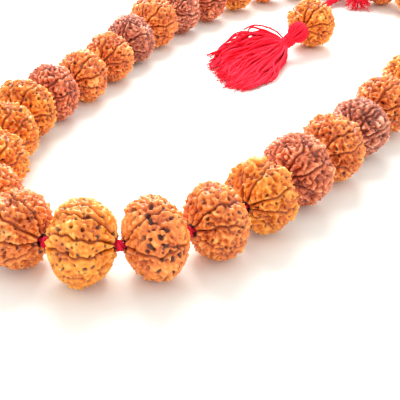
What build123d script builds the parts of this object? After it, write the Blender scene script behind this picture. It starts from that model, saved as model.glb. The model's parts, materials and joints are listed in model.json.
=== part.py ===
from build123d import *
import os
from math import atan2, cos, degrees, pi, radians, sin, tan

# A mala of rudraksha seeds, 32 beads and a guru bead, lying open on a flat surface.
# Millimetres. +Z is up from the surface, +Y runs along the loop towards its join,
# and the origin is on the surface in the middle of the loop.

# Thread and knots
THREAD_R = 0.9
BORE_R = 0.98
KNOT_R = 1.9
KNOT_SPACE = 1.4  # from a knot's centre to the pole of the bead beside it
SEAT_R = 3.0  # hollow at each pole, round the knot's centre
RUNNING_GAP = 0.35  # between a knot and the thread that turns about it
OPEN_PIVOT_GAP = 0.9  # the same, where the two halves of the loop meet
THREAD_INSET = 0.3  # from a knot's centre to the end of the thread inside it

# Join at the far end of the loop
JOIN_KNOT_R = 3.0
JOIN_SPACE = 4.2  # from the join knot's centre to the poles beside it

# Grooves that run from pole to pole and part a seed into its faces
GROOVE_WIDTH = 0.7
GROOVE_DEPTH = 0.9

# The line that the beads lie along, counted from the join, in plan
LOOP_POINTS = [
    (-12, 155.5), (-43, 143), (-60, 120), (-65.5, 98), (-72, 49), (-67, 0.5), (-57.5, -47),
    (-54.5, -87), (-34, -126), (-18, -146), (5, -157.5), (30, -150), (49, -137), (56.5, -115),
    (64.5, -95), (62, -72), (69, -49), (67, -25), (68, -1), (71, 22.5), (72, 67), (60, 112),
    (40, 141), (12, 155),
]

# Each bead's length between its poles, its widest diameter and its number of faces
BEADS = [
    (21.0, 26.5, 8), (21.5, 26.0, 9), (21.0, 26.5, 7), (21.5, 26.5, 8),
    (21.5, 26.5, 7), (21.5, 26.0, 9), (21.5, 27.0, 8), (21.5, 25.0, 7),
    (21.5, 24.0, 8), (20.0, 24.0, 9), (18.5, 25.5, 8), (18.0, 27.5, 7),
    (19.5, 27.0, 9), (21.5, 27.5, 8), (22.5, 26.5, 7), (23.0, 27.0, 9),
    (21.5, 29.0, 9), (20.5, 28.5, 7), (19.5, 27.0, 8), (20.0, 27.5, 9),
    (20.5, 28.0, 8), (21.0, 27.0, 9), (21.0, 24.5, 8), (21.5, 25.5, 8),
    (21.5, 28.0, 9), (21.0, 27.0, 7), (21.5, 26.0, 8), (21.0, 26.5, 9),
    (21.5, 26.0, 8), (21.0, 26.5, 7), (21.0, 26.0, 9), (21.0, 26.5, 8),
]
BEADS_PER_LINK = 2

# Guru bead, its place, and the heading of its bore, which points at the tassel
GURU_LENGTH = 20.5
GURU_DIAMETER = 25.5
GURU_FACES = 9
GURU_CENTRE = Vector(-2, 70.3, GURU_DIAMETER / 2)
GURU_HEADING = -87  # degrees from +X in plan
GURU_KNOT_R = 2.2

# Cord from the join knot to the guru bead
CORD_DIAMETER = 3.8
CORD_POINTS = [
    (-12.0, 151.1, 10.8), (-13.8, 143.0, 6.2), (-21.3, 131.5, 2.4), (-18.5, 118.5, 2.0),
    (-11.5, 106.8, 3.8), (-5.8, 95.5, 8.6), (-2.7, 84.0, 12.6),
]

# Tassel: centres of its sections from the neck to the ends of its strands, with the
# half width and half height of each
TASSEL_HEAD_R = 5.3
TASSEL_HEAD_GAP = 0.5
NECK_R = 2.7
NECK_WIDTH = 2.4
TASSEL_SECTIONS = [
    ((-4.4, 49.0, 8.6), 2.6, 2.6), ((-8.5, 39.0, 5.8), 10.5, 4.6),
    ((-11.5, 26.0, 4.3), 15.0, 4.1), ((-16.5, 12.0, 3.2), 18.0, 3.0),
]

# Small tassel of thread ends at the join, in the same form
JOIN_TASSEL_SECTIONS = [
    ((-11.0, 153.2, 15.0), 1.4, 1.4), ((-9.7, 148.7, 13.4), 1.7, 2.0),
    ((-7.7, 143.4, 7.4), 3.0, 2.4), ((-3.6, 136.5, 2.9), 8.2, 2.7),
]

BEAD_COUNT = len(BEADS)
LINK_COUNT = BEAD_COUNT // BEADS_PER_LINK


def knot_centres():
    """The plan positions of the knots, the first and last at the join."""
    with BuildLine() as line:
        Spline(*LOOP_POINTS, periodic=True)
    loop = line.edge()
    pitches = [length + 2 * KNOT_SPACE for length, _, _ in BEADS]
    pitches[0] += JOIN_SPACE - KNOT_SPACE
    pitches[-1] += JOIN_SPACE - KNOT_SPACE
    scale = loop.length / sum(pitches)
    centres = []
    travelled = 0.0
    for pitch in [0.0] + pitches:
        travelled += pitch * scale
        at = min(travelled, loop.length)
        centres.append(loop.position_at(at, position_mode=PositionMode.LENGTH))
    centres[-1] = centres[0]
    return centres


def knot_height(index):
    """A knot lies midway between the bores of its two beads, which rest on the surface."""
    before = BEADS[(index - 1) % BEAD_COUNT][1] / 2
    after = BEADS[index % BEAD_COUNT][1] / 2
    return (before + after) / 2


def bore_plane(index):
    """A bead's plane: local X along its bore, origin at the bead's centre, Z up."""
    length, diameter, _ = BEADS[index]
    start, end = KNOTS[index], KNOTS[index + 1]
    along = (end - start).normalized()
    middle = (start + end) / 2
    extra = (JOIN_SPACE - KNOT_SPACE) / 2
    if index == 0:
        middle += along * extra
    if index == BEAD_COUNT - 1:
        middle -= along * extra
    return Plane(origin=(middle.X, middle.Y, diameter / 2), x_dir=along, z_dir=(0, 0, 1))


def build_bead(plane, length, diameter, faces, label):
    """A round seed with a bore, a hollow round each pole and grooves between its faces."""
    axis = Axis(plane.origin, plane.x_dir)
    seat_at = length / 2 + KNOT_SPACE
    with BuildPart() as bead:
        with BuildSketch(plane):
            Ellipse(length / 2, diameter / 2)
            Rectangle(2 * length, diameter, align=(Align.CENTER, Align.MAX), mode=Mode.SUBTRACT)
            Rectangle(2 * length, 2 * BORE_R, mode=Mode.SUBTRACT)
            with Locations((-seat_at, 0), (seat_at, 0)):
                Circle(SEAT_R, mode=Mode.SUBTRACT)
        revolve(axis=axis)
        for face in range(faces):
            # The half step puts the middle of a face, and not a groove, on the surface below.
            angle = 360 / faces * (face + 0.5) - 90
            with BuildSketch(plane.rotated((angle, 0, 0))):
                Rectangle(1.2 * length, diameter, align=(Align.CENTER, Align.MIN))
                Ellipse(length / 2 - GROOVE_DEPTH, diameter / 2 - GROOVE_DEPTH, mode=Mode.SUBTRACT)
            extrude(amount=GROOVE_WIDTH / 2, both=True, mode=Mode.SUBTRACT)
    bead.part.label = label
    return bead.part


def build_link(bead_ends, knot_indices, start_gap, end_gap, label):
    """The thread through a pair of beads, with the knots that move with it.

    bead_ends gives, for each bead in turn, its index and the indices of the knots that its
    thread runs from and to. The gaps keep the thread's own ends off the knots that they meet.
    """
    with BuildPart() as link:
        for place, (index, near, far) in enumerate(bead_ends):
            run = KNOTS[far] - KNOTS[near]
            first_gap = start_gap if place == 0 else THREAD_INSET
            last_gap = end_gap if place == len(bead_ends) - 1 else THREAD_INSET
            start = KNOTS[near] + run.normalized() * first_gap
            height = BEADS[index][1] / 2
            with BuildSketch(Plane(origin=(start.X, start.Y, height), z_dir=run)):
                Circle(THREAD_R)
            extrude(amount=run.length - first_gap - last_gap)
        for index in knot_indices:
            centre = KNOTS[index]
            run = KNOTS[(index + 1) % BEAD_COUNT] - KNOTS[index - 1]
            # The knot's seam faces sideways, clear of the threads that enter it.
            seam_turn = degrees(atan2(run.Y, run.X)) + 90
            with Locations(Location((centre.X, centre.Y, knot_height(index)), (0, 0, seam_turn))):
                Sphere(KNOT_R)
    link.part.label = label
    return link.part


def build_strands(sections, label):
    """The outer shape of a bundle of strands, lofted through upright oval sections."""
    with BuildPart() as strands:
        for place, (centre, half_width, half_height) in enumerate(sections):
            before = Vector(sections[max(place - 1, 0)][0])
            after = Vector(sections[min(place + 1, len(sections) - 1)][0])
            run = after - before
            heading = Vector(run.X, run.Y, 0).normalized()
            across = Vector(-heading.Y, heading.X, 0)
            with BuildSketch(Plane(origin=centre, x_dir=across, z_dir=heading)):
                Ellipse(half_width, half_height)
        loft()
    strands.part.label = label
    return strands.part


def build_cord():
    """The cord's tube: straight runs joined by arcs as large as the runs allow."""
    points = [Vector(point) for point in CORD_POINTS]
    radii = []
    for before, corner, after in zip(points, points[1:], points[2:]):
        shorter = min((corner - before).length, (after - corner).length)
        turn = (corner - before).get_angle(after - corner)
        radii.append(0.45 * shorter / tan(radians(turn / 2)))
    print("cord radii", [round(radius, 1) for radius in radii])
    with BuildPart() as cord:
        with BuildLine() as route:
            FilletPolyline(*points, radius=radii)
        path = route.wire()
        with BuildSketch(Plane(origin=path @ 0, z_dir=path % 0)):
            Circle(CORD_DIAMETER / 2)
        sweep(path=path)
    section = pi * CORD_DIAMETER**2 / 4
    print("cord length", round(path.length, 1), "volume over section times length",
          round(cord.part.volume / (section * path.length), 4))
    cord.part.label = "guru_cord"
    return cord.part


KNOTS = knot_centres()
pieces = []

# The 32 beads of the loop
for index, (length, diameter, faces) in enumerate(BEADS):
    label = f"bead_{index + 1:02d}"
    pieces.append(build_bead(bore_plane(index), length, diameter, faces, label))

# The thread, in links of two beads: one half of the loop runs forward from the join knot
# and the other runs back from it, and they meet at an open pivot opposite.
for link in range(LINK_COUNT):
    low = link * BEADS_PER_LINK
    middle, high = low + 1, low + 2
    if link < LINK_COUNT // 2:
        bead_ends = [(low, low, middle), (middle, middle, high)]
        far_end = high
    else:
        bead_ends = [(middle, high, middle), (low, middle, low)]
        far_end = low
    at_join = link in (0, LINK_COUNT - 1)
    start_gap = (JOIN_KNOT_R if at_join else KNOT_R) + RUNNING_GAP
    at_open_pivot = link == LINK_COUNT // 2
    end_gap = KNOT_R + OPEN_PIVOT_GAP if at_open_pivot else THREAD_INSET
    link_knots = [middle] if at_open_pivot else [middle, far_end]
    label = f"thread_link_{link + 1:02d}"
    pieces.append(build_link(bead_ends, link_knots, start_gap, end_gap, label))

# Join knot, where the two ends of the thread are tied
join = KNOTS[0]
with BuildPart() as join_knot:
    with Locations((join.X, join.Y, knot_height(0))):
        Sphere(JOIN_KNOT_R)
join_knot.part.label = "join_knot"
pieces.append(join_knot.part)
pieces.append(build_strands(JOIN_TASSEL_SECTIONS, "join_tassel"))

# Guru bead and the thread through it, with a knot at each pole
guru_along = Vector(cos(radians(GURU_HEADING)), sin(radians(GURU_HEADING)), 0)
guru_plane = Plane(origin=GURU_CENTRE, x_dir=guru_along, z_dir=(0, 0, 1))
pieces.append(build_bead(guru_plane, GURU_LENGTH, GURU_DIAMETER, GURU_FACES, "guru_bead"))
guru_knot_at = GURU_LENGTH / 2 + KNOT_SPACE
far_knot = GURU_CENTRE - guru_along * guru_knot_at
head_centre = GURU_CENTRE + guru_along * (guru_knot_at + TASSEL_HEAD_R - KNOT_SPACE + TASSEL_HEAD_GAP)
with BuildPart() as guru_thread:
    with BuildSketch(Plane(origin=far_knot, z_dir=guru_along)):
        Circle(THREAD_R)
    extrude(amount=GURU_LENGTH + KNOT_SPACE)
    with Locations(far_knot):
        Sphere(GURU_KNOT_R)
guru_thread.part.label = "guru_thread"
pieces.append(guru_thread.part)
pieces.append(build_cord())

# Tassel at the guru bead's near pole: a round head, the binding at its neck, the strands
with BuildPart() as tassel_head:
    with Locations(head_centre):
        Sphere(TASSEL_HEAD_R)
tassel_head.part.label = "tassel_head"
pieces.append(tassel_head.part)
neck = Vector(TASSEL_SECTIONS[0][0])
neck_along = (neck - head_centre).normalized()
binding_start = head_centre + neck_along * (TASSEL_HEAD_R - 1)
with BuildPart() as tassel_binding:
    with BuildSketch(Plane(origin=binding_start, z_dir=neck_along)):
        Circle(NECK_R + 0.5)
    extrude(amount=NECK_WIDTH)
    fillet(tassel_binding.edges(), radius=0.8)
tassel_binding.part.label = "tassel_binding"
pieces.append(tassel_binding.part)
pieces.append(build_strands(TASSEL_SECTIONS, "tassel_strands"))

os.makedirs("parts", exist_ok=True)
for piece in pieces:
    export_step(piece, f"parts/{piece.label}.step")
print(len(pieces), "pieces, join knot at", tuple(round(value, 2) for value in join))
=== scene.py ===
"""A mala of rudraksha seeds with a crimson tassel, lying open on a white surface.

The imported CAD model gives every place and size. This script grows the seeds' clefts, ridges
and pits, twists the thread and the cord, lays the tassel's yarn, and lights the whole.
Lengths are in metres, except inside the seed functions, which work in millimetres.
"""
import json
import math

import bpy
import numpy as np
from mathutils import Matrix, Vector


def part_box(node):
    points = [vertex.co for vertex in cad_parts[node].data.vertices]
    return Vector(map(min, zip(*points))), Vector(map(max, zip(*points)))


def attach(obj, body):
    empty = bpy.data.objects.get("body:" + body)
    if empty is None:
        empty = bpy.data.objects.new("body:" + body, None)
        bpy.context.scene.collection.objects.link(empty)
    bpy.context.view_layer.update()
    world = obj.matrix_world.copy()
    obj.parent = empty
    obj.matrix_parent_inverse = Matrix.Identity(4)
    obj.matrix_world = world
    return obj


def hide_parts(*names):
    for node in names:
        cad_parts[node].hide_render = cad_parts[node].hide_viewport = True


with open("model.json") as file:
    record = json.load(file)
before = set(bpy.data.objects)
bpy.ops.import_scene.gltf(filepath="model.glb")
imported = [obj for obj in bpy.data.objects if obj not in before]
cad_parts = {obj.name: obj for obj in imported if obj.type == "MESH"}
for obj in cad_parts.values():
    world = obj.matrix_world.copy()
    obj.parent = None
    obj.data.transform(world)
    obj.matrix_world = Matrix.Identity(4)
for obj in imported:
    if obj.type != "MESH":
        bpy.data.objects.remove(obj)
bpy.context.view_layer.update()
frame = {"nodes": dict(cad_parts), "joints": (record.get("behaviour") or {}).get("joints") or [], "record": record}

MM = 0.001
TURN = 2 * math.pi
UP = np.array([0.0, 0.0, 1.0])

JOINTS = {joint["name"]: joint for joint in frame["joints"]}
SLOTS = {part["node"]: part["material_slot"] for part in frame["record"]["subparts"]}
BEAD_COUNT = sum(name.startswith("bead_") for name in frame["nodes"])
LINK_COUNT = BEAD_COUNT // 2

# ---------------------------------------------------------------- driving values

# Seeds, in mm
ROWS = 132  # of the mesh, from pole to pole
COLUMNS = 224  # of the mesh, round the bore
RANDOM_START = 100  # of the random numbers: the guru bead's, to which a bead adds its number
KNOT_SPACE = 1.4  # from a knot's centre to the pole of the seed beside it
SEAT_R = 2.9  # hollow at a pole, round the knot's centre
BORE_R = 1.25
CREST = 0.42  # above which a seed's crests are rounded off
CREST_SLOPE = 0.6  # of what stands higher than that
CLEFT_WIDTH = 0.30
CLEFT_DEPTH = 1.15
LIP_PLACE = 1.05  # from the middle of a cleft to its raised lips
LIP_WIDTH = 0.50
LIP_HEIGHT = 0.55
SWELL = 0.30  # height of the slow waves over a whole seed
BORE_ROWS = (0.45, 0.0, -0.45)  # places of the bore's rings, as shares of a seed's length

# How each kind of seed is grown. fold is the width of its worm-like lumps and lump the depth
# of the valleys between them; mesh is the width of the net of sharp walls and wall its height;
# knob is the height of the small bumps on top; pits and pit_r are the number and radius of
# small holes, and blots the share of broad dark hollows; lobe is how far each face swells.
STYLES = {
    "smooth": dict(fold=3.2, lump=0.62, mesh=2.2, wall=0.50, knob=0.34,
                   pits=300, pit_r=0.55, blots=0.0, lobe=0.80),
    "spotted": dict(fold=2.9, lump=0.70, mesh=2.4, wall=0.45, knob=0.34,
                    pits=150, pit_r=0.52, blots=1.0, lobe=0.60),
    "pitted": dict(fold=2.6, lump=0.90, mesh=2.1, wall=0.75, knob=0.40,
                   pits=300, pit_r=0.50, blots=0.3, lobe=0.65),
    "spiky": dict(fold=2.5, lump=0.80, mesh=2.2, wall=1.15, knob=0.50,
                  pits=220, pit_r=0.48, blots=0.0, lobe=0.70),
    "crumpled": dict(fold=2.2, lump=1.50, mesh=2.8, wall=0.40, knob=0.42,
                     pits=90, pit_r=0.52, blots=0.35, lobe=0.55),
}

# Each seed's kind, the turn of its clefts about the bore in degrees, and its number of faces
SEEDS = [
    ("spiky", 10, 8), ("crumpled", 35, 9), ("pitted", 0, 7), ("spiky", 20, 8),
    ("crumpled", 5, 7), ("crumpled", 40, 9), ("pitted", 15, 8), ("pitted", 30, 7),
    ("spiky", 0, 8), ("spiky", 25, 9), ("crumpled", 10, 8), ("pitted", 5, 7),
    ("spiky", 30, 9), ("spiky", 12, 8), ("pitted", 20, 7), ("pitted", 8, 9),
    ("smooth", 0, 13), ("spotted", 14, 7), ("pitted", 6, 9), ("spiky", 22, 9),
    ("crumpled", 15, 8), ("spiky", 0, 9), ("crumpled", 30, 8), ("spiky", 18, 8),
    ("spiky", 5, 9), ("pitted", 25, 7), ("crumpled", 12, 8), ("spiky", 32, 9),
    ("smooth", 16, 8), ("crumpled", 3, 7), ("pitted", 28, 9), ("spiky", 9, 8),
]
GURU_SEED = ("spiky", 20, 9)

# Seed colours: hollow (painted shade), low ground (darkened as painted shade), middle ground, crest (lightened as
# a painted highlight)
TONES = {
    "seed_golden": ((0.075, 0.018, 0.009), (0.66, 0.140, 0.014), (0.98, 0.325, 0.028), (1.00, 0.52, 0.110)),
    "seed_orange": ((0.065, 0.015, 0.012), (0.60, 0.110, 0.018), (0.96, 0.270, 0.044), (1.00, 0.48, 0.140)),
    "seed_rosy": ((0.048, 0.011, 0.012), (0.42, 0.076, 0.032), (0.80, 0.195, 0.074), (1.00, 0.45, 0.22)),
    "seed_dark": ((0.036, 0.011, 0.013), (0.34, 0.076, 0.044), (0.70, 0.200, 0.100), (0.95, 0.50, 0.31)),
}

# Yarn colours
THREAD_RED = (0.70, 0.005, 0.032)
STRAND_RED = (0.78, 0.002, 0.020)
CORD_RED = (0.72, 0.003, 0.024)

# Threads and knots, with the length in which their two plies turn once
THREAD_R = 0.85 * MM
THREAD_TWIST = TURN / (2.8 * MM)
KNOT_TWIST = TURN / (2.6 * MM)
STRAND_TWIST = TURN / (3.0 * MM)
WOUND_TWIST = TURN / (3.2 * MM)
BINDING_TWIST = TURN / (2.0 * MM)
KNOT_R = 1.9 * MM
JOIN_KNOT_R = 3.0 * MM
GURU_KNOT_R = 2.2 * MM

# The tassel's head, neck and binding
TASSEL_NECK = (-0.0044, 0.0490, 0.0086)
HEAD_R = 5.3 * MM
HEAD_CORE_R = 4.75 * MM
HEAD_STRANDS = 44
HEAD_STRAND_R = 0.42 * MM
NECK_R = 2.6 * MM
BINDING_TURNS = 5
BINDING_R = 3.1 * MM
BINDING_LENGTH = 2.4 * MM
BINDING_THREAD_R = 0.34 * MM
FLOOR_GAP = 0.62 * MM  # least height of a strand's middle above the surface

# The tassel's skirt, in mm: lines that its strands follow on top, from the left of the fan to
# the right, with the place of each line across the fan
SKIRT_STRANDS = 210
SKIRT_PLACES = (0.0, 0.2, 0.45, 0.7, 1.0)
SKIRT_LINES = (
    ((-11, 51.0, 11.0), (-20, 51.5, 12.0), (-28, 46.5, 10.5), (-32.5, 36, 5.5), (-32.6, 25, 1.2)),
    ((-11, 47.5, 10.5), (-19, 43, 10.5), (-25, 36, 8), (-28.5, 27.5, 4.5), (-29, 17.5, 1.2)),
    ((-9, 43.5, 9.0), (-13, 35.5, 8.0), (-17, 26.5, 6), (-19, 17.5, 3.5), (-19, 8.0, 1.2)),
    ((-5.5, 42.5, 8.5), (-6.5, 33.5, 7), (-8, 23.5, 5), (-9, 12.5, 3), (-9.0, 0.5, 1.2)),
    ((-1.0, 43, 7.5), (1.6, 33.5, 5.5), (2.6, 22.5, 3.8), (2.0, 11.5, 2.2), (-1.5, 1.5, 1.2)),
)

# Strands that stand apart, in mm, each with its radius and shade: one thin and pale from the
# head to the top of the fan, and ends that stick out on the right and the left
STRAY_LINES = (
    (((-5.4, 56.0, 14.0), (-12.0, 55.0, 13.0), (-19.0, 52.0, 12.4), (-24.0, 48.0, 11.0)),
     0.16, 1.4),
    (((-4.4, 49.0, 8.6), (-0.5, 40.0, 7.0), (2.6, 30.0, 5.0), (4.8, 22.0, 2.2), (4.4, 17.0, 0.8)),
     0.55, 0.8),
    (((-4.4, 49.0, 8.6), (-1.5, 38.0, 7.5), (0.6, 27.0, 5.6), (4.2, 20.0, 3.0), (3.4, 14.5, 0.8)),
     0.50, 0.9),
    (((-4.4, 49.0, 8.6), (-14.0, 52.0, 12.0), (-25.0, 52.5, 12.5), (-31.0, 50.0, 9.5)),
     0.50, 0.6),
)

# The small tassel at the join, in mm: centre, half width and half height of its sections
JOIN_STRANDS = 60
JOIN_BINDING_R = 1.75 * MM
JOIN_LINES = (
    ((-11.0, 153.2, 15.0), 1.0, 1.0), ((-10.1, 148.7, 13.4), 1.1, 1.7),
    ((-7.7, 143.4, 7.4), 2.8, 2.2), ((-3.6, 136.5, 2.9), 7.8, 2.2),
)

# The cord from the join to the guru seed
CORD_DIAMETER = 3.8 * MM
CORD_LAY = 11 * MM  # of one turn of its three strands
CORD_POINTS = [
    (-0.0120, 0.1511, 0.0108), (-0.0138, 0.1430, 0.0062), (-0.0213, 0.1315, 0.0024),
    (-0.0185, 0.1185, 0.0020), (-0.0115, 0.1068, 0.0038), (-0.0058, 0.0955, 0.0086),
    (-0.0027, 0.0840, 0.0126),
]

# The view, the light and the floor
CAMERA_PLACE = (0.175, -0.3035, 0.1612)
CAMERA_HEADING = (-0.466, 0.707, -0.533)
CAMERA_LENS = 73.35
ROOM_STRENGTH = 1.18
KEY_PLACE = (-0.40, 0.50, 0.65)
KEY_SIZE = 0.60
KEY_POWER = 15
FLOOR_COLOUR = (0.93, 0.965, 0.905, 1)
FLOOR_REACH = 4.0

# Sockets of a colour Mix node
MIX_A, MIX_B, MIX_RESULT = 6, 7, 2


# ---------------------------------------------------------------- camera

def add_camera():
    """A low three-quarter view from the near right, over the near end of the loop."""
    heading = Vector(CAMERA_HEADING).normalized()
    data = bpy.data.cameras.new("camera")
    data.lens = CAMERA_LENS
    data.sensor_width = 36
    camera = bpy.data.objects.new("camera", data)
    camera.location = CAMERA_PLACE
    camera.rotation_euler = heading.to_track_quat("-Z", "Y").to_euler()
    bpy.context.collection.objects.link(camera)
    bpy.context.scene.camera = camera


# ---------------------------------------------------------------- small tools

def unit(vector):
    """The vector at length 1."""
    return vector / np.linalg.norm(vector)


def smooth(low, high, value):
    """0 at low, 1 at high, and a smooth step between."""
    t = np.clip((value - low) / (high - low), 0.0, 1.0)
    return t * t * (3 - 2 * t)


def round_x(along, radius, angle):
    """Points at distances along X and from it, each at its angle about X."""
    return np.stack([along, radius * np.cos(angle), radius * np.sin(angle)], axis=1)


def lengths_along(path):
    """How far each point of the path is from its start, measured along it."""
    return np.r_[0, np.cumsum(np.linalg.norm(np.diff(path, axis=0), axis=1))]


def make_piece(name, points, faces, material, attributes):
    """A smooth-shaded object from vertices and faces, with float attributes on its points."""
    mesh = bpy.data.meshes.new(name)
    mesh.from_pydata(points.tolist(), [], faces)
    mesh.shade_smooth()
    for key, values in attributes.items():
        layer = mesh.attributes.new(key, "FLOAT", "POINT")
        layer.data.foreach_set("value", np.asarray(values, np.float32))
    mesh.materials.append(material)
    piece = bpy.data.objects.new(name, mesh)
    bpy.context.collection.objects.link(piece)
    return piece


def stand_for(piece, body, node):
    """The piece moves with the body and takes the place of the CAD node, which is hidden."""
    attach(piece, body)
    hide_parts(node)
    return piece


def curve_through(points, count):
    """Count points, evenly spaced, along a smooth curve through the given ones."""
    points = np.asarray(points, float)
    padded = np.vstack([2 * points[0] - points[1], points, 2 * points[-1] - points[-2]])
    t = np.linspace(0, len(points) - 1 - 1e-9, 8 * count)
    i = t.astype(int)
    f = (t - i)[:, None]
    a, b, c, d = padded[i], padded[i + 1], padded[i + 2], padded[i + 3]
    square = 2 * a - 5 * b + 4 * c - d
    cube = 3 * b - a - 3 * c + d
    line = 0.5 * (2 * b + (c - a) * f + square * f**2 + cube * f**3)
    travelled = lengths_along(line)
    even = np.linspace(0, travelled[-1], count)
    return np.stack([np.interp(even, travelled, line[:, axis]) for axis in range(3)], axis=1)


def frames_along(path):
    """Two unit vectors across the path at each of its points, turning as little as they can."""
    tangents = np.gradient(path, axis=0)
    tangents /= np.linalg.norm(tangents, axis=1, keepdims=True)
    side = np.cross(tangents[0], UP if abs(tangents[0][2]) < 0.9 else np.array([1.0, 0, 0]))
    sides = np.empty_like(path)
    for index, tangent in enumerate(tangents):
        side = unit(side - tangent * (side @ tangent))
        sides[index] = side
    return sides, np.cross(tangents, sides)


class Bundle:
    """Many tubes gathered into one mesh."""

    def __init__(self):
        self.points, self.faces, self.shades, self.count = [], [], [], 0

    def add(self, path, radius, sides=8, ply=0.0, twist=0.0, shade=0.5, turn=0.0):
        """A closed tube. ply pinches its section to two lobes, which turn by twist per metre."""
        radius = np.broadcast_to(radius, len(path))
        across, over = frames_along(path)
        rolled = turn + twist * lengths_along(path)
        angle = np.arange(sides) * TURN / sides
        lobes = 1 - ply * (1 - np.abs(np.cos(angle[None] - rolled[:, None])))
        reach = radius[:, None] * lobes
        ring = (
            path[:, None]
            + (reach * np.cos(angle))[..., None] * across[:, None]
            + (reach * np.sin(angle))[..., None] * over[:, None]
        )
        rings = len(path)
        self.points += [ring.reshape(-1, 3), path[:1], path[-1:]]
        row, column = np.meshgrid(np.arange(rings - 1), np.arange(sides), indexing="ij")
        row, column = row.ravel(), column.ravel()
        beside = (column + 1) % sides
        start = self.count
        quads = np.stack([row * sides + column, row * sides + beside,
                          (row + 1) * sides + beside, (row + 1) * sides + column], axis=1)
        self.faces += (quads + start).tolist()
        last = (rings - 1) * sides
        for j in range(sides):
            k = (j + 1) % sides
            self.faces.append([start + rings * sides, start + k, start + j])
            self.faces.append([start + rings * sides + 1, start + last + j, start + last + k])
        made = rings * sides + 2
        self.shades.append(np.full(made, shade))
        self.count += made

    def piece(self, name, material):
        return make_piece(name, np.concatenate(self.points), self.faces, material,
                          {"shade": np.concatenate(self.shades)})


# ---------------------------------------------------------------- seeds

def waves(points, size, random, spread=0.4, count=28):
    """A smooth random field, of standard deviation about 0.7, with lumps of the given width.

    The narrower the spread of wavelengths, the more even the width of its lumps.
    """
    directions = random.normal(size=(count, 3))
    directions /= np.linalg.norm(directions, axis=1, keepdims=True)
    lengths = math.pi / size * random.uniform(1 - spread, 1 + spread, size=(count, 1))
    phases = random.uniform(0, TURN, size=count)
    across = points.astype(np.float32) @ (directions * lengths).T.astype(np.float32)
    return np.cos(across + phases.astype(np.float32)).sum(axis=1) / math.sqrt(count)


def wave_vectors(points, size, random):
    """Three smooth random fields as one field of vectors."""
    return np.stack([waves(points, size, random, count=12) for _ in range(3)], axis=1)


def lumps(points, size, random):
    """0 in a maze of sharp valleys and 1 on the worm-like lumps between them."""
    rise = np.minimum(np.abs(waves(points, size, random, spread=0.2)) / 0.62, 1)
    return 1 - (1 - rise) ** 2


def net(points, size, random):
    """1 along a net of thin walls, and 0 between them."""
    return np.exp(-((waves(points, size, random, spread=0.2) / 0.26) ** 2))


def nearest_two(points, centres):
    """Each point's nearest centre, and its distances to that one and to the next."""
    squares = (
        (points**2).sum(axis=1)[:, None] + (centres**2).sum(axis=1)[None] - 2 * points @ centres.T
    )
    pair = np.argpartition(squares, 1, axis=1)[:, :2]
    near = np.sqrt(np.maximum(np.take_along_axis(squares, pair, axis=1), 0))
    swap = near[:, 0] > near[:, 1]
    near[swap] = near[swap][:, ::-1]
    pair[swap] = pair[swap][:, ::-1]
    return pair[:, 0], near[:, 0], near[:, 1]


def scatter(count, half, random):
    """Points spread roughly evenly over an ellipsoid with the given half sizes."""
    step = np.arange(count) + 0.5
    polar = np.arccos(1 - 2 * step / count)
    turn = math.pi * (1 + 5**0.5) * step
    spread = round_x(np.cos(polar), np.sin(polar), turn)
    spread += random.normal(scale=0.9 / math.sqrt(count), size=spread.shape)
    return spread / np.linalg.norm(spread, axis=1, keepdims=True) * half


def cleft_field(flat, turn, radius, length, faces, phase, random):
    """Each point's distance to the nearest cleft, and how near it is to the middle of a face."""
    step = TURN / faces
    away = np.full(len(flat), 1e9)
    open_face = np.ones(len(flat))
    along = flat[:, 0] / length
    for face in range(faces):
        waver = 0.065 * np.sin(along * random.uniform(5, 9) + random.uniform(0, 6))
        waver += 0.030 * np.sin(along * random.uniform(18, 30) + random.uniform(0, 6))
        at = phase + step * face + random.normal(scale=0.06) + waver
        apart = np.abs((turn - at + math.pi) % TURN - math.pi)
        away = np.minimum(away, apart * radius)
        open_face = np.minimum(open_face, np.sin(np.clip(apart / step, 0, 0.5) * math.pi) ** 2)
    return away, open_face


def bump_field(flat, pole, look, random):
    """Height of the lumps, walls and knobs, at most about 0, and how deep each point lies."""
    patch = 0.5 + 0.5 * waves(flat, 7.0, random)
    wild = np.clip(0.72 + 0.35 * pole + 0.40 * (patch - 0.5), 0.35, 1.25)
    bent = flat + 0.45 * wave_vectors(flat, 3.2, random)
    lump = lumps(bent, look["fold"], random)
    small = lumps(bent, 0.55 * look["fold"], random)
    wall = net(bent, look["mesh"], random)
    uneven = smooth(-1.2, 1.0, waves(flat, 2.4, random))
    knob = waves(flat, 1.15, random)
    height = -look["lump"] * wild * ((1 - lump) + 0.50 * (1 - small))
    height += look["wall"] * wild * (wall * (0.45 + 0.75 * uneven) - 0.75)
    height += look["knob"] * knob
    depth = look["lump"] * (1 - lump) + 0.7 * look["wall"] * (1 - wall) * (1 - 0.4 * uneven)
    return height, depth


def pit_field(flat, half, look, random):
    """How far each point is inside a small hole, and the hole's radius there."""
    holes = scatter(look["pits"], half, random)
    size = random.uniform(0.5, 1.45, size=look["pits"]) * look["pit_r"]
    crooked = flat + 0.25 * wave_vectors(flat, 1.1, random)
    which, near, _ = nearest_two(crooked, holes)
    return near / size[which], size[which]


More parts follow.
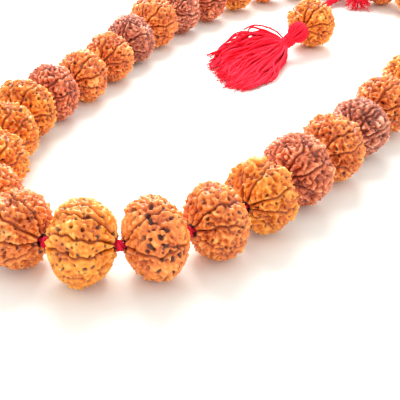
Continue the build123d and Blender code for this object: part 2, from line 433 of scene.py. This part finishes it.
def grow_seed(length, diameter, faces, style, phase, random):
    """A seed about the origin with its bore along X: points, quads, relief and hollow.

    relief is 0 on the lowest ground and 1 on the crests, and the colour ramp paints shade low and a highlight
    high; hollow is high in holes, clefts, blots and deep valleys and near 1 round and inside the bore, where it
    lays painted shade.
    """
    look = STYLES[style]
    half = np.array([length / 2, diameter / 2, diameter / 2])
    rim = 1.15 * BORE_R
    first = math.asin(rim / half[1])
    polar = np.linspace(first, math.pi - first, ROWS)
    polar -= 0.10 * np.sin(2 * polar)
    turn = np.arange(COLUMNS) * TURN / COLUMNS
    polar, turn = (grid.ravel() for grid in np.meshgrid(polar, turn, indexing="ij"))
    ring = np.sin(polar) ** 0.94
    flat = round_x(-np.cos(polar), ring, turn) * half
    normal = flat / half**2
    normal /= np.linalg.norm(normal, axis=1, keepdims=True)
    radius = np.hypot(flat[:, 1], flat[:, 2])

    away, open_face = cleft_field(flat, turn, radius, length, faces, phase, random)
    pole = smooth(0.50, 0.92, np.abs(flat[:, 0]) / half[0])
    cleft = np.exp(-((away / CLEFT_WIDTH) ** 2))
    lip = np.exp(-(((away - LIP_PLACE) / LIP_WIDTH) ** 2))
    bumps, depth = bump_field(flat, pole, look, random)
    reach, size = pit_field(flat, half, look, random)
    pit = smooth(1.2, 0.5, reach)
    blot = look["blots"] * smooth(0.62, 0.85, waves(flat, 1.5, random)) * (1 - pole)
    height = look["lobe"] * (open_face - 1) - CLEFT_DEPTH * cleft + LIP_HEIGHT * lip
    height += bumps * smooth(0.0, 0.9, away) * (1 - 0.30 * lip)
    height += -1.0 * pit * np.minimum(size, 0.9) - 0.8 * blot
    height += SWELL * waves(flat, 4.5, random)
    height = np.where(height > CREST, CREST + CREST_SLOPE * (height - CREST), height)

    calm = smooth(0.0, 2.2, radius - rim)
    points = flat + normal * (height * calm)[:, None]
    press_seats(points, half[0] + KNOT_SPACE)

    # The colour ramp follows relief: painted shade on the low ground, a painted highlight on the crests.
    relief = np.clip((height + 1.7) / 2.2, 0, 1)
    # Painted shade: dark in holes, clefts and blots, round the bore's mouth and in the deep valleys.
    hollow_shade = np.maximum.reduce([
        0.95 * pit,
        0.70 * cleft,
        0.95 * blot,
        1 - smooth(1.2, 3.0, radius),
        0.65 * smooth(0.80, 1.9, depth),
    ])

    angle = np.arange(COLUMNS) * TURN / COLUMNS
    for place in BORE_ROWS:
        points = np.concatenate([points, round_x(np.full(COLUMNS, place * length), BORE_R, angle)])
    inner = len(BORE_ROWS) * COLUMNS
    relief = np.r_[relief, np.zeros(inner)]
    # The bore's inside is all painted shade.
    hollow_shade = np.r_[hollow_shade, np.ones(inner)]
    return points, seed_quads(), relief, hollow_shade


def press_seats(points, reach):
    """Push the points out of the two round hollows for the knots, at this distance along X."""
    for side in (-1, 1):
        centre = np.array([side * reach, 0.0, 0.0])
        out = points - centre
        distance = np.linalg.norm(out, axis=1)
        inside = distance < SEAT_R
        points[inside] = centre + out[inside] / distance[inside, None] * SEAT_R


def seed_quads():
    """The faces of a seed's rows: from pole to pole outside, and back through its bore."""
    rows = ROWS + len(BORE_ROWS)
    row, column = np.meshgrid(np.arange(rows), np.arange(COLUMNS), indexing="ij")
    row, column = row.ravel(), column.ravel()
    after, beside = (row + 1) % rows, (column + 1) % COLUMNS
    return np.stack([row * COLUMNS + column, row * COLUMNS + beside,
                     after * COLUMNS + beside, after * COLUMNS + column], axis=1)


def measure_seed(node, spin):
    """A CAD seed's centre, its bore's direction, and its length and diameter."""
    centre = np.array(JOINTS[spin]["pos_m"])
    along = unit(np.array(JOINTS[spin]["axis"]))
    mesh = frame["nodes"][node].data
    points = np.zeros(len(mesh.vertices) * 3, np.float32)
    mesh.vertices.foreach_get("co", points)
    out = points.reshape(-1, 3) - centre
    axial = np.abs(out @ along)
    radial = np.sqrt(np.maximum((out**2).sum(axis=1) - axial**2, 0))
    half_width = radial.max()
    # The outline is an ellipse, so any point on it off the grooves gives the half length.
    round_part = radial < 0.8 * half_width
    outline = np.sqrt(1 - np.minimum(radial / half_width, 0.9) ** 2)
    half_length = (axial / outline)[round_part].max()
    return centre, along, 2 * half_length, 2 * half_width


def axes_of(along):
    """Columns: along the bore, level across it, and up."""
    across = unit(np.cross(UP, along))
    return np.stack([along, across, np.cross(along, across)], axis=1)


def add_seed(node, body, spin, look, number):
    style, turn, faces = look
    centre, along, length, diameter = measure_seed(node, spin)
    random = np.random.default_rng(RANDOM_START + number)
    points, quads, relief, hollow_shade = grow_seed(
        length / MM, diameter / MM, faces, style, math.radians(turn), random
    )
    points = points * MM @ axes_of(along).T + centre
    slot = SLOTS[node]
    piece = make_piece(f"seed_{node}", points, quads.tolist(), seed_material(slot),
                       {"relief": relief, "hollow_shade": hollow_shade})
    return stand_for(piece, body, node)


# ---------------------------------------------------------------- thread and knots

def knot_line(centre, along, core, rise, turns=2, folds=3, count=90):
    """A closed knot about a thread through its centre: it winds round a ring."""
    t = np.linspace(0, TURN, count)
    ring = core + rise * np.cos(folds * t)
    local = round_x(1.15 * rise * np.sin(folds * t), ring, turns * t)
    return local @ axes_of(along).T + centre


def straight(start, end, step=1.2 * MM):
    """Points about a step apart on the straight line between two points."""
    count = max(int(np.linalg.norm(end - start) / step), 3)
    return start + np.linspace(0, 1, count)[:, None] * (end - start)


def tie_knot(bundle, centre, along, radius):
    """A tied knot of the given outer radius, and a little thread to fill its middle."""
    tube = 0.34 * radius
    line = knot_line(centre, along, core=0.50 * radius, rise=0.30 * radius)
    bundle.add(line, tube, sides=12, ply=0.22, twist=KNOT_TWIST, shade=0.5)
    # The filling thread is a little darker: painted shade inside the knot.
    other = knot_line(centre, along, core=0.38 * radius, rise=0.24 * radius, turns=3, folds=2)
    bundle.add(other, tube, sides=12, ply=0.22, twist=KNOT_TWIST, shade=0.35)


def loop_beads():
    """For each bead of the loop: its centre, the loop's direction there, and its half length."""
    measured = [measure_seed(f"bead_{n:02d}", f"bead_{n:02d}_spin") for n in range(1, BEAD_COUNT + 1)]
    beads = []
    for index, (centre, along, length, _) in enumerate(measured):
        ahead = measured[(index + 1) % BEAD_COUNT][0] - measured[index - 1][0]
        beads.append((centre, along if along @ ahead > 0 else -along, length / 2))
    return beads


def add_links(beads, material):
    """Each link's thread through its two seeds, with the knots that move with it."""
    for link in range(LINK_COUNT):
        number = link + 1
        forward = number <= LINK_COUNT // 2
        pair = [2 * link, 2 * link + 1]
        if not forward:
            pair.reverse()
        bundle = Bundle()
        for place, index in enumerate(pair):
            centre, along, half = beads[index]
            along = along if forward else -along
            reach = half + KNOT_SPACE * MM
            near = centre - along * (half if place == 0 else reach)
            far = centre + along * reach
            ends_open = number == LINK_COUNT // 2 + 1 and place == 1
            if ends_open:
                far = centre + along * half
            bundle.add(straight(near, far), THREAD_R, sides=10, ply=0.25, twist=THREAD_TWIST)
            if not ends_open:
                tie_knot(bundle, far, along, KNOT_R)
        node = f"thread_link_{number:02d}"
        stand_for(bundle.piece(f"thread_{number:02d}", material), f"link_{number:02d}", node)


def add_join_knot(material):
    """The larger knot that joins the ends of the loop."""
    centre = np.array(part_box("join_knot")).mean(axis=0)
    bundle = Bundle()
    tie_knot(bundle, centre, np.array([1.0, 0.0, 0.0]), JOIN_KNOT_R)
    stand_for(bundle.piece("join_knot_tied", material), "join", "join_knot")


def add_guru_thread(material):
    """The thread through the guru seed, with the knot at its far pole."""
    centre, along, length, _ = measure_seed("guru_bead", "guru_bead_spin")
    if along[1] > 0:
        along = -along
    reach = length / 2 + KNOT_SPACE * MM
    knot = centre - along * reach
    bundle = Bundle()
    end = centre + along * length / 2
    bundle.add(straight(knot, end), THREAD_R, sides=10, ply=0.25, twist=THREAD_TWIST)
    tie_knot(bundle, knot, along, GURU_KNOT_R)
    stand_for(bundle.piece("guru_thread_tied", material), "guru_link", "guru_thread")


# ---------------------------------------------------------------- cord

def cord_line():
    """The smooth line that the cord lies along."""
    curve = bpy.data.curves.new("cord_route", "CURVE")
    curve.dimensions = "3D"
    spline = curve.splines.new("NURBS")
    spline.points.add(len(CORD_POINTS) - 1)
    for point, place in zip(spline.points, CORD_POINTS):
        point.co = (*place, 1)
    spline.order_u = 3
    spline.use_endpoint_u = True
    spline.resolution_u = 24
    route = bpy.data.objects.new("cord_route", curve)
    mesh = bpy.data.meshes.new_from_object(route)
    line = np.array([vertex.co for vertex in mesh.vertices])
    bpy.data.objects.remove(route)
    bpy.data.curves.remove(curve)
    bpy.data.meshes.remove(mesh)
    return line


def add_cord(material):
    """Three strands laid round one another along the cord's line."""
    line = cord_line()
    across, over = frames_along(line)
    travelled = lengths_along(line)
    strand_r = CORD_DIAMETER / 2 / (1 + 2 / 3**0.5)
    off = CORD_DIAMETER / 2 - strand_r
    bundle = Bundle()
    for strand in range(3):
        angle = (travelled / CORD_LAY + strand / 3) * TURN
        path = line + off * (np.cos(angle)[:, None] * across + np.sin(angle)[:, None] * over)
        bundle.add(path, strand_r * 1.06, sides=16, ply=0.16, twist=-WOUND_TWIST, shade=0.5)
    piece = bundle.piece("cord_laid", material)
    stand_for(piece, "guru_link", "guru_cord")


# ---------------------------------------------------------------- tassels

def add_strand(bundle, path, radius, shade, random, fray=4):
    """One length of two-ply yarn, whose end comes apart into a few fibres."""
    taper = np.full(len(path), radius)
    taper[-2:] *= (0.8, 0.55)
    bundle.add(path, taper, sides=7, ply=0.30, twist=STRAND_TWIST, shade=shade,
               turn=random.uniform(0, TURN))
    heading = unit(path[-1] - path[-3])
    for _ in range(fray):
        reach = random.uniform(1.0, 3.2) * MM
        aside = random.normal(scale=0.45, size=3) * (1, 1, 0.45)
        bend = random.normal(scale=0.35, size=3) * (1, 1, 0.45)
        t = np.linspace(0, 1, 6)[:, None]
        fibre = path[-2] + reach * (t * (heading + aside) + t**2 * bend)
        fibre[:, 2] = np.maximum(fibre[:, 2], 0.15 * MM)
        bundle.add(fibre, 0.13 * MM, sides=4, shade=shade + 0.1)


def waver(path, random, amount, start=0.0):
    """The path with slow and quick sideways waves that grow away from its start."""
    t = np.linspace(0, 1, len(path))
    grow = smooth(start, start + 0.45, t)
    for cycles, share in ((random.uniform(0.8, 1.8), 1.0), (random.uniform(2.5, 4.5), 0.30)):
        for axis in range(3):
            size = share * amount * random.normal() * (0.5 if axis == 2 else 1.0)
            path[:, axis] += size * grow * np.sin(TURN * (cycles * t + random.uniform(0, 1)))
    return path


def add_tassel(material):
    """The tassel's head, its binding and its spread strands."""
    head = np.array(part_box("tassel_head")).mean(axis=0)
    neck = np.array(TASSEL_NECK)
    down = unit(neck - head)
    axes = axes_of(down)
    random = np.random.default_rng(7)
    add_tassel_head(head, axes, random, material)
    add_tassel_binding(head, axes, material)
    add_tassel_skirt(neck, axes, random, material)


def add_tassel_head(head, axes, random, material):
    """A round core with strands over it from its top to the neck."""
    bundle = Bundle()
    core = np.linspace(-1, 1, 25)
    core_r = HEAD_CORE_R * np.sqrt(np.maximum(1 - core**2, 0.0004))
    # The core, seen only between the strands, gets the darkest shade: painted shade in the gaps.
    bundle.add(head + axes[:, 0] * core[:, None] * HEAD_CORE_R, core_r, sides=40, shade=0.1)
    radius = HEAD_R - 0.38 * MM
    for strand in range(HEAD_STRANDS):
        around = TURN * (strand + random.uniform(-0.25, 0.25)) / HEAD_STRANDS
        polar = np.linspace(0.10, 2.55, 30)
        along = -radius * np.cos(polar)
        out = radius * np.sin(polar)
        along = np.r_[along, along[-1] + 1.2 * MM, along[-1] + 3.2 * MM]
        out = np.r_[out, 2.75 * MM, 2.65 * MM]
        swing = around + 0.10 * np.sin(np.linspace(0, 3, len(out)) + random.uniform(0, 6))
        path = round_x(along, out, swing) @ axes.T + head
        bundle.add(path, HEAD_STRAND_R, sides=8, ply=0.2, twist=WOUND_TWIST,
                   shade=random.uniform(0.45, 0.75), turn=random.uniform(0, TURN))
    stand_for(bundle.piece("tassel_head_wound", material), "tassel", "tassel_head")


def add_tassel_binding(head, axes, material):
    """The thread wound round the neck."""
    bundle = Bundle()
    t = np.linspace(0, 1, 40 * BINDING_TURNS)
    along = HEAD_R - 1.0 * MM + BINDING_LENGTH * t
    path = round_x(along, BINDING_R, t * BINDING_TURNS * TURN) @ axes.T + head
    bundle.add(path, BINDING_THREAD_R, sides=8, ply=0.15, twist=BINDING_TWIST, shade=0.55)
    stand_for(bundle.piece("tassel_binding_wound", material), "tassel", "tassel_binding")


def add_tassel_skirt(neck, axes, random, material):
    """Strands that leave the neck and fan out over the surface, and a few stray ones."""
    down = axes[:, 0]
    bundle = Bundle()
    lines = np.array(SKIRT_LINES)
    places = np.array(SKIRT_PLACES)
    for strand in range(SKIRT_STRANDS):
        u = (strand + random.uniform(0, 1)) / SKIRT_STRANDS
        v = random.uniform(0, 1) ** 0.8
        ways = [[np.interp(u, places, lines[:, step, axis]) for axis in range(3)]
                for step in range(lines.shape[1])]
        ways = np.array(ways) * MM
        ways[:, 2] = 0.7 * MM + (ways[:, 2] - 0.7 * MM) * v
        turn = random.uniform(0, TURN)
        out = NECK_R * random.uniform(0, 1) ** 0.5
        start = neck - down * 0.8 * MM
        start = start + out * (axes[:, 1] * math.cos(turn) + axes[:, 2] * math.sin(turn))
        leave = start + down * 2.2 * MM
        path = curve_through(np.vstack([start, leave, ways]), 34)
        path = path[:random.integers(29, 35)]
        loose = (0.75 + 2.3 * (1 - u) ** 2 * v) * MM
        path = waver(path, random, loose, start=0.10)
        path[:, 2] = np.maximum(path[:, 2], FLOOR_GAP)
        shade = random.uniform(0.30, 0.70) + 0.15 * u
        add_strand(bundle, path, random.uniform(0.46, 0.60) * MM, shade, random)
    for line, radius, shade in STRAY_LINES:
        path = waver(curve_through(np.array(line) * MM, 34), random, 0.3 * MM)
        add_strand(bundle, path, radius * MM, shade, random)
    stand_for(bundle.piece("tassel_strands_spread", material), "tassel", "tassel_strands")


def add_join_tassel(material):
    """The short tassel of yarn ends below the join knot."""
    random = np.random.default_rng(21)
    bundle = Bundle()
    top = np.array(JOIN_LINES[0][0]) * MM
    run = unit(np.array([8.0, -17.0, 0.0]))  # level heading of the fringe
    aside = np.array([-run[1], run[0], 0.0])
    for _ in range(JOIN_STRANDS):
        a = random.uniform(-1, 1)
        b = random.uniform(-1, 1) * math.sqrt(1 - a * a)
        ways = []
        for centre, half_width, half_height in JOIN_LINES:
            ways.append((np.array(centre) + aside * half_width * a + UP * half_height * b) * MM)
        path = curve_through(np.array(ways), 24)[: random.integers(20, 25)]
        path = waver(path, random, 0.45 * MM, start=0.2)
        path[:, 2] = np.maximum(path[:, 2], 0.6 * MM)
        add_strand(bundle, path, random.uniform(0.42, 0.55) * MM, random.uniform(0.3, 0.7), random)
    t = np.linspace(0, 1, 160)
    down = unit(np.array(JOIN_LINES[1][0]) - np.array(JOIN_LINES[0][0]))
    local = round_x((0.4 + 2.4 * t) * MM, JOIN_BINDING_R, 5 * TURN * t)
    bundle.add(local @ axes_of(down).T + top, BINDING_THREAD_R, sides=8, ply=0.15,
               twist=BINDING_TWIST, shade=0.45)
    stand_for(bundle.piece("join_tassel_strands", material), "join", "join_tassel")


# ---------------------------------------------------------------- materials

def attribute(nodes, name):
    """A mesh attribute's value."""
    node = nodes.new("ShaderNodeAttribute")
    node.attribute_name = name
    return node.outputs["Fac"]


def noise(nodes, links, coordinates, scale, detail):
    node = nodes.new("ShaderNodeTexNoise")
    node.inputs["Scale"].default_value = scale
    node.inputs["Detail"].default_value = detail
    links.new(coordinates, node.inputs["Vector"])
    return node.outputs["Fac"]


def scaled_sum(nodes, links, value, factor, addend):
    """value times factor, plus addend."""
    node = nodes.new("ShaderNodeMath")
    node.operation = "MULTIPLY_ADD"
    node.inputs[1].default_value = factor
    links.new(value, node.inputs[0])
    links.new(addend, node.inputs[2])
    return node.outputs[0]


def bump(nodes, links, height, strength, distance):
    node = nodes.new("ShaderNodeBump")
    node.inputs["Strength"].default_value = strength
    node.inputs["Distance"].default_value = distance
    links.new(height, node.inputs["Height"])
    return node.outputs["Normal"]


def seed_material(slot):
    """Dry, slightly oiled seed shell, with painted shade in its holes, clefts, bore and low ground and a painted
    highlight on its crests.
    """
    name = f"{slot}_shell"
    if name in bpy.data.materials:
        return bpy.data.materials[name]
    material = bpy.data.materials.new(name)
    material.use_nodes = True
    nodes, links = material.node_tree.nodes, material.node_tree.links
    shader = nodes["Principled BSDF"]
    place = nodes.new("ShaderNodeTexCoord").outputs["Object"]
    broad = noise(nodes, links, place, 150, 4)
    fine = noise(nodes, links, place, 900, 4)
    mixed = scaled_sum(nodes, links, broad, 0.55, attribute(nodes, "relief"))
    mixed = scaled_sum(nodes, links, fine, 0.35, mixed)
    level = nodes.new("ShaderNodeMath")
    level.operation = "MULTIPLY"
    level.inputs[1].default_value = 0.68
    links.new(mixed, level.inputs[0])
    ramp = nodes.new("ShaderNodeValToRGB")
    # The hollow colour and the low ground's are painted shade; the crest's is a painted highlight.
    hollow_shade, low, middle, crest_highlight = TONES[slot]
    ramp.color_ramp.elements[0].position = 0.42
    ramp.color_ramp.elements[0].color = (*low, 1)
    ramp.color_ramp.elements[1].position = 0.98
    ramp.color_ramp.elements[1].color = (*crest_highlight, 1)
    ramp.color_ramp.elements.new(0.74).color = (*middle, 1)
    links.new(level.outputs[0], ramp.inputs["Fac"])
    # Painted shade laid over the hollows, by the hollow mask.
    painted_shade_mix = nodes.new("ShaderNodeMix")
    painted_shade_mix.data_type = "RGBA"
    links.new(attribute(nodes, "hollow_shade"), painted_shade_mix.inputs["Factor"])
    links.new(ramp.outputs["Color"], painted_shade_mix.inputs[MIX_A])
    painted_shade_mix.inputs[MIX_B].default_value = (*hollow_shade, 1)
    links.new(painted_shade_mix.outputs[MIX_RESULT], shader.inputs["Base Color"])
    shader.inputs["Roughness"].default_value = 0.38
    shader.inputs["Specular IOR Level"].default_value = 0.5
    links.new(bump(nodes, links, fine, 0.5, 0.3 * MM), shader.inputs["Normal"])
    return material


def yarn_material(slot, colour):
    """Soft dyed cotton, with a painted highlight on its high fibres and painted shade between them."""
    material = bpy.data.materials.new(f"{slot}_yarn")
    material.use_nodes = True
    nodes, links = material.node_tree.nodes, material.node_tree.links
    shader = nodes["Principled BSDF"]
    place = nodes.new("ShaderNodeTexCoord").outputs["Object"]
    fibres = noise(nodes, links, place, 2600, 3)
    patches = noise(nodes, links, place, 260, 2)
    # Fibres that stand high in the bump are lighter, a painted highlight, and the gaps darker, painted shade; the
    # shade attribute and the patches shift the tone per piece and at random.
    level = scaled_sum(nodes, links, fibres, 0.45, attribute(nodes, "shade"))
    level = scaled_sum(nodes, links, patches, 0.30, level)
    ramp = nodes.new("ShaderNodeValToRGB")
    red, green, blue = colour
    ramp.color_ramp.elements[0].position = 0.35
    ramp.color_ramp.elements[0].color = (0.62 * red, 0.5 * green, 0.6 * blue, 1)
    ramp.color_ramp.elements[1].position = 1.0
    ramp.color_ramp.elements[1].color = (min(1.15 * red, 1), green + 0.025, blue + 0.04, 1)
    ramp.color_ramp.elements.new(0.75).color = (*colour, 1)
    links.new(level, ramp.inputs["Fac"])
    links.new(ramp.outputs["Color"], shader.inputs["Base Color"])
    shader.inputs["Roughness"].default_value = 0.85
    shader.inputs["Specular IOR Level"].default_value = 0.08
    shader.inputs["Sheen Weight"].default_value = 0.06
    shader.inputs["Sheen Roughness"].default_value = 0.5
    shader.inputs["Sheen Tint"].default_value = (1.0, 0.35, 0.45, 1)
    links.new(bump(nodes, links, fibres, 0.6, 0.15 * MM), shader.inputs["Normal"])
    return material


# ---------------------------------------------------------------- floor and light

def add_floor():
    """A plain pale surface, far larger than the view."""
    material = bpy.data.materials.new("floor")
    material.use_nodes = True
    shader = material.node_tree.nodes["Principled BSDF"]
    shader.inputs["Base Color"].default_value = FLOOR_COLOUR
    shader.inputs["Roughness"].default_value = 0.9
    shader.inputs["Specular IOR Level"].default_value = 0.1
    mesh = bpy.data.meshes.new("floor")
    far = FLOOR_REACH
    corners = [(-far, -far, 0), (far, -far, 0), (far, far, 0), (-far, far, 0)]
    mesh.from_pydata(corners, [], [(0, 1, 2, 3)])
    mesh.materials.append(material)
    floor = bpy.data.objects.new("floor", mesh)
    bpy.context.collection.objects.link(floor)


def add_light():
    """A white room, and a broad soft light from behind and the left."""
    scene = bpy.context.scene
    scene.view_settings.view_transform = "Standard"
    world = bpy.data.worlds.new("room")
    world.use_nodes = True
    background = world.node_tree.nodes["Background"]
    background.inputs["Color"].default_value = (1, 1, 1, 1)
    background.inputs["Strength"].default_value = ROOM_STRENGTH
    scene.world = world
    data = bpy.data.lights.new("key", "AREA")
    data.size = KEY_SIZE
    data.energy = KEY_POWER
    key = bpy.data.objects.new("key", data)
    key.location = KEY_PLACE
    key.rotation_euler = (-key.location).to_track_quat("-Z", "Y").to_euler()
    bpy.context.collection.objects.link(key)


# ---------------------------------------------------------------- the whole

add_camera()
add_light()
add_floor()

thread = yarn_material("thread", THREAD_RED)
strands = yarn_material("strands", STRAND_RED)
cord = yarn_material("cord", CORD_RED)

for number, look in enumerate(SEEDS, start=1):
    name = f"bead_{number:02d}"
    add_seed(name, name, f"{name}_spin", look, number)
add_seed("guru_bead", "guru_bead", "guru_bead_spin", GURU_SEED, 0)
add_links(loop_beads(), thread)
add_join_knot(thread)
add_guru_thread(thread)
add_cord(cord)
add_tassel(strands)
add_join_tassel(strands)
